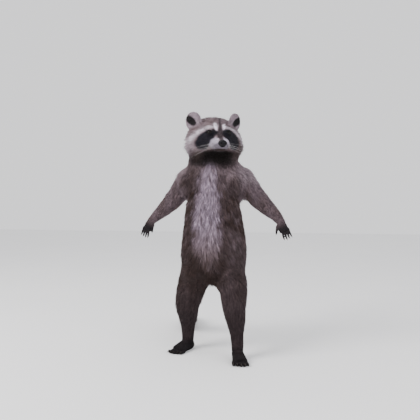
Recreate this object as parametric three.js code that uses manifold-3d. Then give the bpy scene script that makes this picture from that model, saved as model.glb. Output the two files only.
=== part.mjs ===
// A raccoon standing upright on its two hind feet, with its arms held out and its head turned to its left, at life
// size and in millimetres. It faces -Y with +Z up, so its own left side lies at +X. Every solid has the outline of the
// animal in its coat, out to the tips of the hair. The origin is on the floor, in the middle of the animal's own box.

import * as THREE from "three";
import { mergeVertices } from "three/addons/utils/BufferGeometryUtils.js";
import Module from "manifold-3d";

const wasm = await Module();
wasm.setup();

// ---------------------------------------------------------------------------------------- driving dimensions

const CUT = 0.3; // the gap left wherever two pieces meet
const NECK_HEIGHT = 452; // where the neck leaves the shoulders
const WAIST_HEIGHT = 335; // where the chest meets the belly
const HEAD_HEIGHT = 522; // the middle of the head above the floor
const HEAD_TURN = THREE.MathUtils.degToRad(25.5); // about the upright, towards its own left
const EYE_RADIUS = 7.6;
const SWAY = 2; // the hips are carried this far to the left, over the forward foot
const TOE_OUT = THREE.MathUtils.degToRad(20); // how far each hind foot points outwards
const DIGITS = 5;

const FORWARD = new THREE.Vector3(0, -1, 0);
const UP = new THREE.Vector3(0, 0, 1);
const LEFT = 1;
const RIGHT = -1;

// ------------------------------------------------------------------------------------------------- materials

const coat = (name, colour) =>
  new THREE.MeshStandardMaterial({ name, color: colour, roughness: 0.9, metalness: 0 });
const greyCoat = coat("grey_brown_coat", 0x6b5c5c);
const paleCoat = coat("pale_belly_coat", 0x8c7f86);
const darkCoat = coat("dark_leg_coat", 0x382e2c);
const faceCoat = coat("masked_face_coat", 0x9a8d94);
const tailCoat = coat("ringed_tail_coat", 0x6e6056);
const noseLeather = new THREE.MeshStandardMaterial({ color: 0x141214, roughness: 0.35, metalness: 0 });
const eyeGloss = new THREE.MeshStandardMaterial({ color: 0x0d0806, roughness: 0.05, metalness: 0 });
const clawHorn = new THREE.MeshStandardMaterial({ color: 0x2a2320, roughness: 0.45, metalness: 0 });

// ----------------------------------------------------------------------------------------- how flesh is shaped

// One cross-section of a limb: its centre, how far it reaches to each side, to its front and to its back, and how
// square it is in front and behind (2 is an ellipse, more is squarer, less is more pointed).
const station = (centre, side, front, back = front, frontPower = 2, backPower = 2) => ({
  centre: new THREE.Vector3(...centre),
  reach: new THREE.Vector3(side, front, back),
  power: new THREE.Vector2(frontPower, backPower),
});

const smoothCurve = (points) => new THREE.CatmullRomCurve3(points, false, "catmullrom", 0.5);

const rounded = (value, power) => Math.sign(value) * Math.abs(value) ** (2 / power);

// A limb is carried smoothly through its stations, with its front turned to `facing`. The result makes the closed
// skin of any stretch of it, counted in stations, with flat ends or with round ones of a given length.
function limb(stations, facing, sides = 12) {
  const spine = smoothCurve(stations.map((s) => s.centre));
  const reaches = smoothCurve(stations.map((s) => s.reach));
  const powers = new THREE.SplineCurve(stations.map((s) => s.power));
  const spans = stations.length - 1;

  const ring = (at, shift, scale, grow) => {
    const t = THREE.MathUtils.clamp(at / spans, 0, 1);
    const along = spine.getTangent(t);
    const centre = spine.getPoint(t).addScaledVector(along, shift);
    const reach = reaches.getPoint(t).addScalar(grow).multiplyScalar(scale);
    const [frontPower, backPower] = powers.getPoint(t).toArray();
    const front = facing.clone().addScaledVector(along, -facing.dot(along)).normalize();
    const side = front.clone().cross(along);
    return Array.from({ length: sides }, (_, i) => {
      const turn = (2 * Math.PI * i) / sides;
      const forward = Math.sin(turn) >= 0;
      const power = forward ? frontPower : backPower;
      return centre
        .clone()
        .addScaledVector(side, reach.x * rounded(Math.cos(turn), power))
        .addScaledVector(front, (forward ? reach.y : reach.z) * rounded(Math.sin(turn), power));
    });
  };

  return ({ from = 0, to = spans, rows = 3, domes = [0, 0], domeRows = 3, gaps = [0, 0], grow = 0 } = {}) => {
    const rings = [];
    const domed = (at, length, sign) => {
      for (let row = domeRows - 1; row > 0; row--) {
        const angle = (row / domeRows) * (Math.PI / 2);
        rings.push(ring(at, sign * Math.sin(angle) * (length + grow), Math.cos(angle), grow));
      }
    };
    if (domes[0]) domed(from, domes[0], -1);
    const count = Math.max(1, Math.round((to - from) * rows));
    for (let row = 0; row <= count; row++) {
      const shift = row === 0 ? gaps[0] / 2 : row === count ? -gaps[1] / 2 : 0;
      rings.push(ring(from + ((to - from) * row) / count, shift, 1, grow));
    }
    if (domes[1]) {
      const start = rings.length;
      domed(to, domes[1], 1);
      rings.push(...rings.splice(start).reverse());
    }
    const middle = (points) => points.reduce((sum, p) => sum.add(p), new THREE.Vector3()).divideScalar(sides);
    const tip = (at, length, sign) => {
      const t = THREE.MathUtils.clamp(at / spans, 0, 1);
      return spine.getPoint(t).addScaledVector(spine.getTangent(t), sign * (length + grow));
    };
    const first = domes[0] ? tip(from, domes[0], -1) : middle(rings[0]);
    const last = domes[1] ? tip(to, domes[1], 1) : middle(rings.at(-1));
    return closedSkin(rings, first, last);
  };
}

// Rings of equal length, joined into one closed surface that faces outwards, with a point in the middle of each end.
function closedSkin(rings, first, last) {
  const sides = rings[0].length;
  const points = [...rings.flat(), first, last];
  const faces = [];
  for (let row = 0; row < rings.length - 1; row++) {
    for (let i = 0; i < sides; i++) {
      const [a, b] = [row * sides + i, row * sides + ((i + 1) % sides)];
      faces.push(a, b, b + sides, a, b + sides, a + sides);
    }
  }
  const lastRow = (rings.length - 1) * sides;
  for (let i = 0; i < sides; i++) {
    const next = (i + 1) % sides;
    faces.push(next, i, points.length - 2);
    faces.push(lastRow + i, lastRow + next, points.length - 1);
  }
  return new THREE.BufferGeometry().setFromPoints(points).setIndex(faces);
}

// ----------------------------------------------------------------------------------------- joining and cutting

function solid(geometry) {
  return new wasm.Manifold(
    new wasm.Mesh({
      numProp: 3,
      vertProperties: geometry.getAttribute("position").array,
      triVerts: new Uint32Array(geometry.index.array),
    }),
  );
}

function geometryOf(shape) {
  const { vertProperties, triVerts } = shape.getMesh();
  return new THREE.BufferGeometry()
    .setAttribute("position", new THREE.BufferAttribute(vertProperties, 3))
    .setIndex(new THREE.BufferAttribute(triVerts, 1));
}

const joined = (geometries) => geometries.map(solid).reduce((all, next) => all.add(next));
const without = (shape, ...others) => others.reduce((left, other) => left.subtract(other), shape);

// A sphere stretched to three half-sizes and moved to its centre, with its poles up and down.
function ellipsoid([x, y, z], centre, around = 16, upwards = 10) {
  const ball = new THREE.SphereGeometry(1, around, upwards);
  ball.rotateX(Math.PI / 2);
  ball.scale(x, y, z);
  ball.translate(...centre);
  return welded(ball);
}

// A primitive with the doubled points along its seam and at its poles made one.
function welded(geometry) {
  geometry.deleteAttribute("normal");
  geometry.deleteAttribute("uv");
  return mergeVertices(geometry);
}

// ------------------------------------------------------------------------------------------------------ trunk

// Chest, belly and rump in one upright tube. The back is nearly straight and the belly is carried forward.
const trunk = limb(
  [
    station([SWAY, -4, 186], 52, 46, 54), // between the thighs
    station([SWAY, -4, 212], 80, 67, 73), // rump
    station([SWAY + 1, -4, 250], 83, 76, 74), // lower belly
    station([SWAY + 1, -4, 292], 79, 76, 68), // belly
    station([SWAY, -4, WAIST_HEIGHT], 73, 71, 64), // waist
    station([1, -3, 376], 69, 64, 64), // below the arms
    station([0, -2, 416], 67, 58, 64), // shoulders
    station([0, -2, NECK_HEIGHT], 65, 52, 62), // base of the neck
    station([0, -2, 486], 64, 46, 59), // throat, inside the cheeks
    station([0, -2, 512], 56, 38, 52),
  ],
  FORWARD,
  20,
);
const TRUNK = { floor: 0, waist: 4, neck: 7, top: 9 };
const TRUNK_DOME = 20;

const belly = (grow = 0) =>
  trunk({ from: TRUNK.floor, to: TRUNK.waist, rows: 2, domes: [TRUNK_DOME, 0], gaps: [0, CUT], grow });
const chest = (grow = 0) => trunk({ from: TRUNK.waist, to: TRUNK.neck, rows: 2, gaps: [CUT, CUT], grow });
const neck = (grow = 0) => trunk({ from: TRUNK.neck, to: TRUNK.top, rows: 1, gaps: [CUT, 0], grow });

// ------------------------------------------------------------------------------------------------------- head

// In the head's own frame +Y is the way the nose points, so its left side lies at -X, and the limb runs from the nape
// to the nose with its front turned up. Each section names its distance forward, its level, its reach to the side, up
// and down, and how square its top is: the crown is nearly flat between the ears, and the face falls away like a roof.
const skullStation = (along, level, side, up, down, roof = 2, floor = 2.1) =>
  station([0, along, level], side, up, down, roof, floor);
const skull = limb(
  [
    skullStation(-50, -2, 34, 36, 40), // nape
    skullStation(-36, -8, 50, 58, 48, 2.8), // back of the skull
    skullStation(-15, -15, 60, 70, 46, 3.1), // crown, between the ears
    skullStation(8, -18, 74.5, 71, 42, 1.9), // cheek ruffs
    skullStation(28, -19, 72, 61, 40, 1.6), // forehead
    skullStation(46, -19, 57, 47, 35, 1.7), // brow
    skullStation(61, -20, 38, 33, 27, 1.9), // eyes
    skullStation(74, -22, 25, 20, 19), // root of the muzzle
    skullStation(90, -25, 20, 14.5, 15.5), // whisker pads
    skullStation(103, -28, 14, 10, 12), // lips
  ],
  UP,
  22,
);
const SKULL = { nape: 0, muzzle: 7, lips: 9 };
const MOUTH = { level: -34, slope: 0.12, from: 80 }; // the lips meet along a line that rises a little backwards

const cranium = (grow = 0) =>
  skull({ from: SKULL.nape, to: SKULL.muzzle, rows: 1.6, domes: [12, 0], domeRows: 2, gaps: [0, CUT], grow });
const snout = (grow = 0) =>
  skull({ from: SKULL.muzzle, to: SKULL.lips, rows: 2, domes: [0, 7], domeRows: 2, gaps: [CUT, 0], grow });

const eyeCentre = (side) => [-side * 20.7, 63, 5];
const noseCentre = [0, 108, -25];

const eyeball = (side, grow = 0) => ellipsoid(Array(3).fill(EYE_RADIUS + grow), eyeCentre(side), 12, 8);
const nosePad = () => ellipsoid([9.6, 8, 8.2], noseCentre, 10, 7);

// The two jaws are the snout, parted along the line where the lips meet.
function jaws() {
  const normal = [0, MOUTH.slope, 1];
  const length = Math.hypot(...normal);
  const up = normal.map((v) => v / length);
  const level = (MOUTH.level + MOUTH.slope * MOUTH.from) / length;
  const whole = solid(snout());
  return {
    upper: whole.trimByPlane(up, level + CUT / 2),
    lower: whole.trimByPlane(up.map((v) => -v), -(level - CUT / 2)),
  };
}

// A rounded ear stands off the side of the head, turned outwards, and is scooped out in front.
const EAR = { width: 25, depth: 9.5, height: 28, turn: 0.7, lean: 0.35, scoop: 0.72 };
const EAR_CENTRE = [47.5, 9, 35.5];
function ear(side) {
  const [x, y, z] = EAR_CENTRE;
  const lean = new THREE.Matrix4()
    .makeRotationZ(side * EAR.turn)
    .premultiply(new THREE.Matrix4().makeRotationY(-side * EAR.lean))
    .setPosition(-side * x, y, z);
  const shell = ellipsoid([EAR.width, EAR.depth, EAR.height], [0, 0, 0], 14, 8).applyMatrix4(lean);
  const inside = [EAR.width, EAR.depth, EAR.height].map((v) => v * EAR.scoop);
  const scoop = ellipsoid(inside, [-side * 1.5, EAR.depth * 0.95, 1], 12, 6).applyMatrix4(lean);
  return without(solid(shell), solid(scoop), solid(cranium(CUT)));
}

// ------------------------------------------------------------------------------------------------------- arms

// From inside the shoulder, along the arm and down to the knuckles, held out from the body in its own plane.
const ARM = { shoulder: 0, elbow: 3, wrist: 5, knuckles: 7 };
const handInward = (side) => (side === LEFT ? 5 : 0); // its left hand hangs a little closer to the body
const knucklesOf = (side) => [side * 177 - handInward(side), 10, 300];
const armOf = (side) =>
  limb(
    [
      station([side * 30, 8, 450], 35, 34, 34), // inside the chest
      station([side * 64, 15, 424], 36.5, 33, 35), // shoulder
      station([side * 98, 19, 387], 28, 27, 29), // upper arm
      station([side * 129.5, 19, 355.5], 21, 21, 23), // elbow
      station([side * 149, 16, 338], 15.5, 15, 17), // forearm
      station([side * 165 - handInward(side) / 2, 12, 322], 11.5, 11, 12), // wrist
      station([side * 171 - handInward(side), 11, 311], 12, 9, 10), // palm
      station(knucklesOf(side), 12, 7, 8), // knuckles
    ],
    FORWARD,
  );

const palmAlong = (side) => new THREE.Vector3(side * 0.33, -0.03, -0.94).normalize();
const palmAcross = (side) => new THREE.Vector3(side * 0.94, 0, 0.33).normalize();
const FINGER = { length: 23, root: 3.3, tip: 2.5, spread: 0.04, gap: 5.4, claw: 5 };
const thumbOut = (side) => (side === LEFT ? 0.52 : 0.16); // its right thumb is folded against the palm

// The five fingers of a hand, thumb first: where each starts, the way it points, and its length.
function fingersOf(side) {
  const along = palmAlong(side);
  const across = palmAcross(side);
  const knuckle = new THREE.Vector3(...knucklesOf(side));
  return Array.from({ length: DIGITS }, (_, digit) => {
    const place = digit - 2.1; // the four long fingers lie to the outside of the palm's middle
    if (digit === 0) {
      return {
        root: knuckle.clone().addScaledVector(along, -18).addScaledVector(across, -10.5),
        way: along.clone().addScaledVector(across, -thumbOut(side)).normalize(),
        length: FINGER.length * 0.9,
      };
    }
    return {
      root: knuckle.clone().addScaledVector(along, -3).addScaledVector(across, place * FINGER.gap),
      way: along.clone().addScaledVector(across, place * FINGER.spread).normalize(),
      length: FINGER.length * (1 - 0.07 * Math.abs(place)),
    };
  });
}

// ------------------------------------------------------------------------------------------------------- legs

const footForward = (side) => new THREE.Vector3(side * Math.sin(TOE_OUT), -Math.cos(TOE_OUT), 0);
const footAcross = (side) => new THREE.Vector3(side * Math.cos(TOE_OUT), Math.sin(TOE_OUT), 0);
const kneeOf = (side) => (side === LEFT ? [59.5, -30] : [-64, -1]);
const ankleOf = (side) => (side === LEFT ? [68.5, -36] : [-69, 13]);

// From inside the hip, through the knee and down into the foot.
const LEG = { hip: 0, knee: 3, ankle: 6, heel: 7 };
function legOf(side) {
  const [x, y] = ankleOf(side);
  const [kneeX, kneeY] = kneeOf(side);
  const between = (share) => [kneeX + (x - kneeX) * share, kneeY + (y - kneeY) * share];
  return limb(
    [
      station([SWAY + side * 37, kneeY * 0.2, 232], 36, 42, 44), // inside the rump
      station([SWAY + side * 45, kneeY * 0.25 - 2, 196], 39, 46, 53), // thigh
      station([SWAY + side * 5 + kneeX * 0.8, kneeY * 0.6 - 2, 156], 36.5, 43, 46), // above the knee
      station([kneeX, kneeY, 118], side === LEFT ? 29.5 : 31.5, 37, 35), // knee
      station([...between(0.5), 88], 24, 27, 32), // calf
      station([...between(0.8), 59], 17, 19, 24), // shin
      station([x, y, 34], 15, 16, 19), // ankle
      station([x, y, 14], 13.5, 16, 17), // heel
    ],
    footForward(side),
    14,
  );
}

// The sole's tube runs from the heel to the ball of the foot, and the floor trims it and the toes flat.
const FOOT = { heel: -12, ball: 37, toes: 33, sink: 1.6 };
const TOE = { length: 23, root: 4.8, tip: 3.6, spread: 0.07, gap: 6.9, claw: 7 };

function soleOf(side) {
  const [x, y] = ankleOf(side);
  const along = footForward(side);
  const at = (distance, height) => [x + along.x * distance, y + along.y * distance, height];
  const sole = (distance, height, side, up) =>
    station(at(distance, height), side, up, height + FOOT.sink, 2, 2.6);
  return limb(
    [
      sole(FOOT.heel, 11, 12.5, 10), // heel
      sole(4, 13, 14.5, 17), // under the ankle
      sole(20, 11.5, 16, 13), // instep
      sole(FOOT.ball, 9, 18, 8.5), // ball
    ],
    UP,
    12,
  );
}

function toesOf(side) {
  const along = footForward(side);
  const across = footAcross(side);
  const [x, y] = ankleOf(side);
  return Array.from({ length: DIGITS }, (_, digit) => {
    const place = digit - 2;
    const shorter = 1 - 0.08 * Math.abs(place - 0.5);
    return {
      root: new THREE.Vector3(x, y, TOE.root - FOOT.sink + 1)
        .addScaledVector(along, FOOT.toes + 14 * (shorter - 1))
        .addScaledVector(across, place * TOE.gap),
      way: along.clone().addScaledVector(across, place * TOE.spread).normalize(),
      length: TOE.length * shorter,
    };
  });
}

// ------------------------------------------------------------------------------------- digits and their claws

// A finger or toe tapers to a round tip and bends a little towards the palm or the floor.
function digit({ root, way, length }, size, bend, grow = 0) {
  const at = (share) => root.clone().addScaledVector(way, length * share).addScaledVector(bend, length * share ** 2);
  const thick = (share) => THREE.MathUtils.lerp(size.root, size.tip, share);
  const stations = [0, 0.5, 1].map((share) => station(at(share).toArray(), thick(share), thick(share)));
  return limb(stations, bend.clone().negate().normalize(), 6)({
    rows: 1,
    domes: [0, size.tip],
    domeRows: 2,
    grow,
  });
}

// A claw leaves the top of the digit's tip, curves down and comes to a point. Its thickness is a share of the
// digit's, and its hook a share of its own length.
const CLAW = { width: 0.4, height: 0.54, hook: 0.37 };
function claw({ root, way, length }, size, bend) {
  const hook = bend.clone().normalize();
  const start = root
    .clone()
    .addScaledVector(way, length + size.tip * 0.35)
    .addScaledVector(bend, length)
    .addScaledVector(hook, -size.tip * 0.3);
  const at = (share) =>
    start
      .clone()
      .addScaledVector(way, size.claw * share)
      .addScaledVector(hook, size.claw * CLAW.hook * share ** 2);
  const stations = [0, 0.5, 1].map((share) => {
    const left = size.tip * (1 - 0.86 * share);
    return station(at(share).toArray(), CLAW.width * left, CLAW.height * left);
  });
  return limb(stations, hook.clone().negate(), 5)({ rows: 1 });
}

const FINGER_BEND = new THREE.Vector3(0, 0.16, 0);
const TOE_BEND = new THREE.Vector3(0, 0, -0.05);

// ------------------------------------------------------------------------------------------------------- tail

// It drops from the rump behind the right thigh and lies back along the floor, which flattens its underside.
const tail = limb(
  [
    station([-4, 34, 210], 27, 27), // inside the rump
    station([-34, 64, 190], 29, 29),
    station([-70, 92, 160], 30, 30),
    station([-98, 116, 122], 31, 31),
    station([-114, 144, 80], 31, 31),
    station([-124, 182, 43], 31, 31),
    station([-134, 224, 28.5], 31, 30),
    station([-144, 264, 23], 26, 25),
    station([-151, 296, 18], 17, 17), // tip
  ],
  UP,
  14,
);
const TAIL = { root: 0, middle: 3, end: 5.5, tip: 8 };
const TAIL_DOME = 20;

const tailRoot = () => tail({ from: TAIL.root, to: TAIL.middle, rows: 1.7, gaps: [0, CUT] });
const tailMiddle = () => tail({ from: TAIL.middle, to: TAIL.end, rows: 1.7, gaps: [CUT, CUT] });
const tailTip = () => tail({ from: TAIL.end, to: TAIL.tip, rows: 1.7, gaps: [CUT, 0], domes: [0, TAIL_DOME] });

// --------------------------------------------------------------------------------------------------- assembly

const raccoon = new THREE.Group();
const head = new THREE.Group();
head.rotation.z = Math.PI + HEAD_TURN;
head.position.set(1, 0, HEAD_HEIGHT);
head.updateMatrix();
raccoon.add(head);

function add(group, name, shape, material) {
  const mesh = new THREE.Mesh(shape.isBufferGeometry ? shape : geometryOf(shape), material);
  mesh.name = name;
  group.add(mesh);
}

const sideName = (side) => (side === LEFT ? "left" : "right");
const inBody = (geometry) => solid(geometry.applyMatrix4(head.matrix));
const grown = { belly: solid(belly(CUT)), chest: solid(chest(CUT)), neck: solid(neck(CUT)) };

add(raccoon, "chest", chest(), paleCoat);
add(raccoon, "belly", belly(), paleCoat);
add(raccoon, "neck", without(solid(neck()), inBody(cranium(CUT))), greyCoat);

add(head, "head", without(solid(cranium()), ...[LEFT, RIGHT].map((side) => solid(eyeball(side, CUT)))), faceCoat);
const { upper, lower } = jaws();
add(head, "muzzle", upper, faceCoat);
add(head, "jaw", lower, faceCoat);
add(head, "nose", without(solid(nosePad()), solid(snout(CUT))), noseLeather);

// Everything below the floor is cut away, which leaves flat soles at one level.
const underFloor = (() => {
  const box = new THREE.BoxGeometry(900, 900, 40);
  box.translate(0, 0, -20);
  return solid(welded(box));
})();

function hand(side) {
  const arm = armOf(side);
  const palm = arm({ from: ARM.wrist, to: ARM.knuckles, rows: 1, gaps: [CUT, 0], domes: [0, 4], domeRows: 2 });
  return joined([palm, ...fingersOf(side).map((finger) => digit(finger, FINGER, FINGER_BEND))]);
}

function foot(side) {
  const sole = soleOf(side)({ rows: 1, domes: [7, 6], domeRows: 2 });
  const ankle = legOf(side)({ from: LEG.ankle, to: LEG.heel, rows: 1, gaps: [CUT, 0] });
  const toes = toesOf(side).map((toe) => digit(toe, TOE, TOE_BEND));
  return without(joined([sole, ankle, ...toes]), underFloor);
}

for (const side of [LEFT, RIGHT]) {
  const name = sideName(side);
  add(head, `ear_${name}`, ear(side), faceCoat);
  add(head, `eye_${name}`, eyeball(side), eyeGloss);

  const arm = armOf(side);
  const upperArm = solid(arm({ from: ARM.shoulder, to: ARM.elbow, rows: 2, gaps: [0, CUT] }));
  add(raccoon, `upper_arm_${name}`, without(upperArm, grown.chest, grown.neck), greyCoat);
  add(raccoon, `forearm_${name}`, arm({ from: ARM.elbow, to: ARM.wrist, rows: 2.5, gaps: [CUT, CUT] }), greyCoat);
  const handShape = hand(side);
  add(raccoon, `hand_${name}`, handShape, darkCoat);

  const leg = legOf(side);
  const thigh = solid(leg({ from: LEG.hip, to: LEG.knee, rows: 2, gaps: [0, CUT] }));
  add(raccoon, `thigh_${name}`, without(thigh, grown.belly), darkCoat);
  add(raccoon, `shin_${name}`, leg({ from: LEG.knee, to: LEG.ankle, rows: 2, gaps: [CUT, CUT] }), darkCoat);
  const footShape = foot(side);
  add(raccoon, `foot_${name}`, footShape, darkCoat);

  // Each claw is cut by a digit grown by the gap, so that it starts just off the tip.
  const clawsOf = (kind, digits, size, bend, flesh) =>
    digits.forEach((each, i) => {
      const cut = solid(digit(each, size, bend, CUT));
      add(raccoon, `claw_${kind}_${name}_${i + 1}`, without(solid(claw(each, size, bend)), cut, flesh), clawHorn);
    });
  clawsOf("hand", fingersOf(side), FINGER, FINGER_BEND, handShape);
  clawsOf("foot", toesOf(side), TOE, TOE_BEND, footShape);
}

const rightThigh = solid(legOf(RIGHT)({ from: LEG.hip, to: LEG.knee, rows: 2, gaps: [0, CUT], grow: CUT }));
add(raccoon, "tail_root", without(solid(tailRoot()), grown.belly, rightThigh), tailCoat);
add(raccoon, "tail_middle", without(solid(tailMiddle()), underFloor), tailCoat);
add(raccoon, "tail_tip", without(solid(tailTip()), underFloor), tailCoat);

// The origin goes to the floor under the middle of the whole box.
const box = new THREE.Box3().setFromObject(raccoon);
const middle = box.getCenter(new THREE.Vector3());
const model = new THREE.Group();
raccoon.position.set(-middle.x, -middle.y, 0);
model.add(raccoon);

export default model;
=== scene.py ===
"""A raccoon standing upright on its hind feet, with its arms held out and its head turned to its left. A
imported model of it, in plain solids, is the frame that this dresses: one skin under the coat, the coat
itself in solid tufts, the eyes, the nose, the claws and the whiskers."""

import math

import bmesh
import bpy
import numpy as np
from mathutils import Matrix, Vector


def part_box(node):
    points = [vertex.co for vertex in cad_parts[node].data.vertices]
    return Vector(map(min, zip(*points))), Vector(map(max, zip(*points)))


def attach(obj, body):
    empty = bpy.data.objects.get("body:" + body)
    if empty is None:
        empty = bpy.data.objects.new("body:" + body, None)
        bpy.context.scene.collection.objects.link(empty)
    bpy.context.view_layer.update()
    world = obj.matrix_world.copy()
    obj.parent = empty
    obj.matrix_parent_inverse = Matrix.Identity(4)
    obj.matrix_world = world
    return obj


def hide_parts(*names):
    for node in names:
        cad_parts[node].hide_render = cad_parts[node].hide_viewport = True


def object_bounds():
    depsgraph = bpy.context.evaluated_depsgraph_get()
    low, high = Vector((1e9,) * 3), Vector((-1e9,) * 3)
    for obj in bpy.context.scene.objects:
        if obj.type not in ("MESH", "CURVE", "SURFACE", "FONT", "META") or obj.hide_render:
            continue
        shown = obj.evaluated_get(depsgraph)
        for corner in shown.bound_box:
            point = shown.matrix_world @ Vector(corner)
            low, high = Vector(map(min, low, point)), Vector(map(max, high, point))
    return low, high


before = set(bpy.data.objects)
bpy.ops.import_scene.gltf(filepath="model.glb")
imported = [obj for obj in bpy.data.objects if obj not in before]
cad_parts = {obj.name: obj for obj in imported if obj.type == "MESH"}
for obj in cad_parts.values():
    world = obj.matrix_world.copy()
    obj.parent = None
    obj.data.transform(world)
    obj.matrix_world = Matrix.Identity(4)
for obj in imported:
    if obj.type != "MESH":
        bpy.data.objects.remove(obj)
cad_low, cad_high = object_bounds()

# -------------------------------------------------------------------------------------------- where it stands
# The animal is laid out in millimetres from the spot on the floor below its hips, and its head from the
# middle of the skull, with the way the nose points as its own forward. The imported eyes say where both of
# those are.
MM = 0.001
HEAD_TURN = math.radians(25.5)
NOSE_WAY = np.array([math.sin(HEAD_TURN), -math.cos(HEAD_TURN), 0.0])
HEAD_LEFT = np.array([math.cos(HEAD_TURN), math.sin(HEAD_TURN), 0.0])
UP = np.array([0.0, 0.0, 1.0])
HEAD_AXES = np.stack([HEAD_LEFT, NOSE_WAY, UP])
LEFT = 1
RIGHT = -1
SIDES = {"left": LEFT, "right": RIGHT}
EYE = np.array([20.7, 63, 5])  # from the middle of the skull
SKULL_SPOT = np.array([1.0, 0.0, 522.0])  # from the spot below the hips


def middle_of(node):
    """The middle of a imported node's box."""
    low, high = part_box(node)
    return np.array((low + high) / 2)


between_eyes = (middle_of("eye_left") + middle_of("eye_right")) / 2
SKULL = between_eyes - MM * (EYE[1] * NOSE_WAY + EYE[2] * UP)
STAND = SKULL - MM * SKULL_SPOT


def placed(points):
    """Points in millimetres from the spot below the hips, put in the shared frame, which is in metres."""
    return STAND + MM * np.asarray(points, float)


def placed_on_head(points):
    """Points in millimetres to the head's left, ahead and up from its middle, put in the shared frame."""
    left, ahead, up = np.moveaxis(np.asarray(points, float), -1, 0)
    return SKULL + MM * (left[..., None] * HEAD_LEFT + ahead[..., None] * NOSE_WAY + up[..., None] * UP)


def seen_from_head(points):
    """The reverse: how far each point lies to the head's left, ahead and up, in millimetres."""
    return (points - SKULL) @ HEAD_AXES.T / MM


# ----------------------------------------------------------------------------------------------------- camera
# It stands level with the chest, a little to the animal's left and a bit over a metre away, and looks
# straight ahead, so that the animal's sides don't lean in.
VIEW_TURN = math.radians(15)
VIEW_AWAY = 1.146
VIEW_HEIGHT = 0.349
VIEW_ASIDE = -0.0074
LENS = 40.09
view_back = np.array([math.sin(VIEW_TURN), -math.cos(VIEW_TURN), 0.0])
view_right = np.array([math.cos(VIEW_TURN), math.sin(VIEW_TURN), 0.0])
view_spot = STAND + view_back * VIEW_AWAY + view_right * VIEW_ASIDE

camera_data = bpy.data.cameras.new("studio_camera")
camera_data.sensor_width = 36
camera_data.lens = LENS
camera_data.clip_end = 50
camera = bpy.data.objects.new("studio_camera", camera_data)
camera.location = (view_spot[0], view_spot[1], VIEW_HEIGHT)
camera.rotation_euler = (math.pi / 2, 0, VIEW_TURN)
bpy.context.collection.objects.link(camera)
bpy.context.scene.camera = camera


# ------------------------------------------------------------------------------------------------------ floor
# A broad board, painted a plain pale grey with the faintest mottling, for the animal to stand on. It is one
# flat face at the level of the feet.
def mesh_object(name, points, faces):
    """An object at the origin whose mesh has these points, in metres, and these faces, shaded smooth."""
    mesh = bpy.data.meshes.new(name)
    mesh.from_pydata(np.asarray(points).tolist(), [], faces if isinstance(faces, list) else faces.tolist())
    mesh.shade_smooth()
    piece = bpy.data.objects.new(name, mesh)
    bpy.context.collection.objects.link(piece)
    return piece


def new_material(name, roughness, specular=0.5):
    """A material with one Principled shader, and its nodes, links and shader to build on."""
    material = bpy.data.materials.new(name)
    material.use_nodes = True
    tree = material.node_tree
    shader = tree.nodes["Principled BSDF"]
    shader.inputs["Roughness"].default_value = roughness
    shader.inputs["Specular IOR Level"].default_value = specular
    return material, tree, shader


def mottled(tree, shader, scale, *stops):
    """Colours a surface by a noise over its own space, through a ramp of two stops: a place and a colour."""
    where = tree.nodes.new("ShaderNodeTexCoord")
    noise = tree.nodes.new("ShaderNodeTexNoise")
    noise.inputs["Scale"].default_value = scale
    shades = tree.nodes.new("ShaderNodeValToRGB")
    for element, (place, colour) in zip(shades.color_ramp.elements, stops):
        element.position = place
        element.color = (*colour, 1)
    tree.links.new(where.outputs["Object"], noise.inputs["Vector"])
    tree.links.new(noise.outputs["Fac"], shades.inputs["Fac"])
    tree.links.new(shades.outputs["Color"], shader.inputs["Base Color"])


FLOOR_HALF = 6.0
floor_corners = [(FLOOR_HALF * x, FLOOR_HALF * y, 0) for x, y in ((-1, -1), (1, -1), (1, 1), (-1, 1))]
floor = mesh_object("floor", floor_corners, [(0, 1, 2, 3)])
floor_paint, tree, shader = new_material("floor_paint", 0.8, 0.2)
mottled(tree, shader, 3, (0, (0.86, 0.86, 0.87)), (1, (0.9, 0.9, 0.9)))
floor.data.materials.append(floor_paint)


# ----------------------------------------------------------------------------------------------------- lights
# A white room, with one broad soft lamp in front and to one side, and a weaker one on the other side that
# opens up the shadows.
def soft_lamp(name, spot, size, power, colour):
    """A square area lamp at a spot, turned to face the middle of the animal."""
    data = bpy.data.lights.new(name, "AREA")
    data.size = size
    data.energy = power
    data.color = colour
    lamp = bpy.data.objects.new(name, data)
    lamp.location = spot
    toward = (cad_low + cad_high) / 2 - lamp.location
    lamp.rotation_euler = toward.to_track_quat("-Z", "Y").to_euler()
    bpy.context.collection.objects.link(lamp)


ROOM_LIGHT = 1.25
soft_lamp("key_lamp", (-1.4, -1.6, 1.7), size=1.2, power=68, colour=(1.0, 0.98, 0.97))
soft_lamp("fill_lamp", (1.9, -1.3, 0.9), size=1.6, power=22, colour=(0.98, 0.98, 1.0))
room = bpy.data.worlds.new("white_room")
room.use_nodes = True
room.node_tree.nodes["Background"].inputs["Color"].default_value = (0.98, 0.98, 1.0, 1)
room.node_tree.nodes["Background"].inputs["Strength"].default_value = ROOM_LIGHT
bpy.context.scene.world = room

# ------------------------------------------------------------------------------------------------------- skin
# One seamless hide under the coat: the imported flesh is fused, drawn in by the depth of the coat that stands
# on it, and given its lids, lips and folds. The same survey of the body serves the coat that grows on it.
EYE_RADIUS = 7.6
LID = 1.3  # how thick the lids are over the eyeball
SWELL = 0.4  # the flesh nodes are grown this much, so that they fuse across the gaps between them
DIGIT_DRAW = 0.45  # and the fingers and toes are drawn in this much, so that they stay apart
VOXEL = 1.15
SKIN_FACES = 188000


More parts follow.
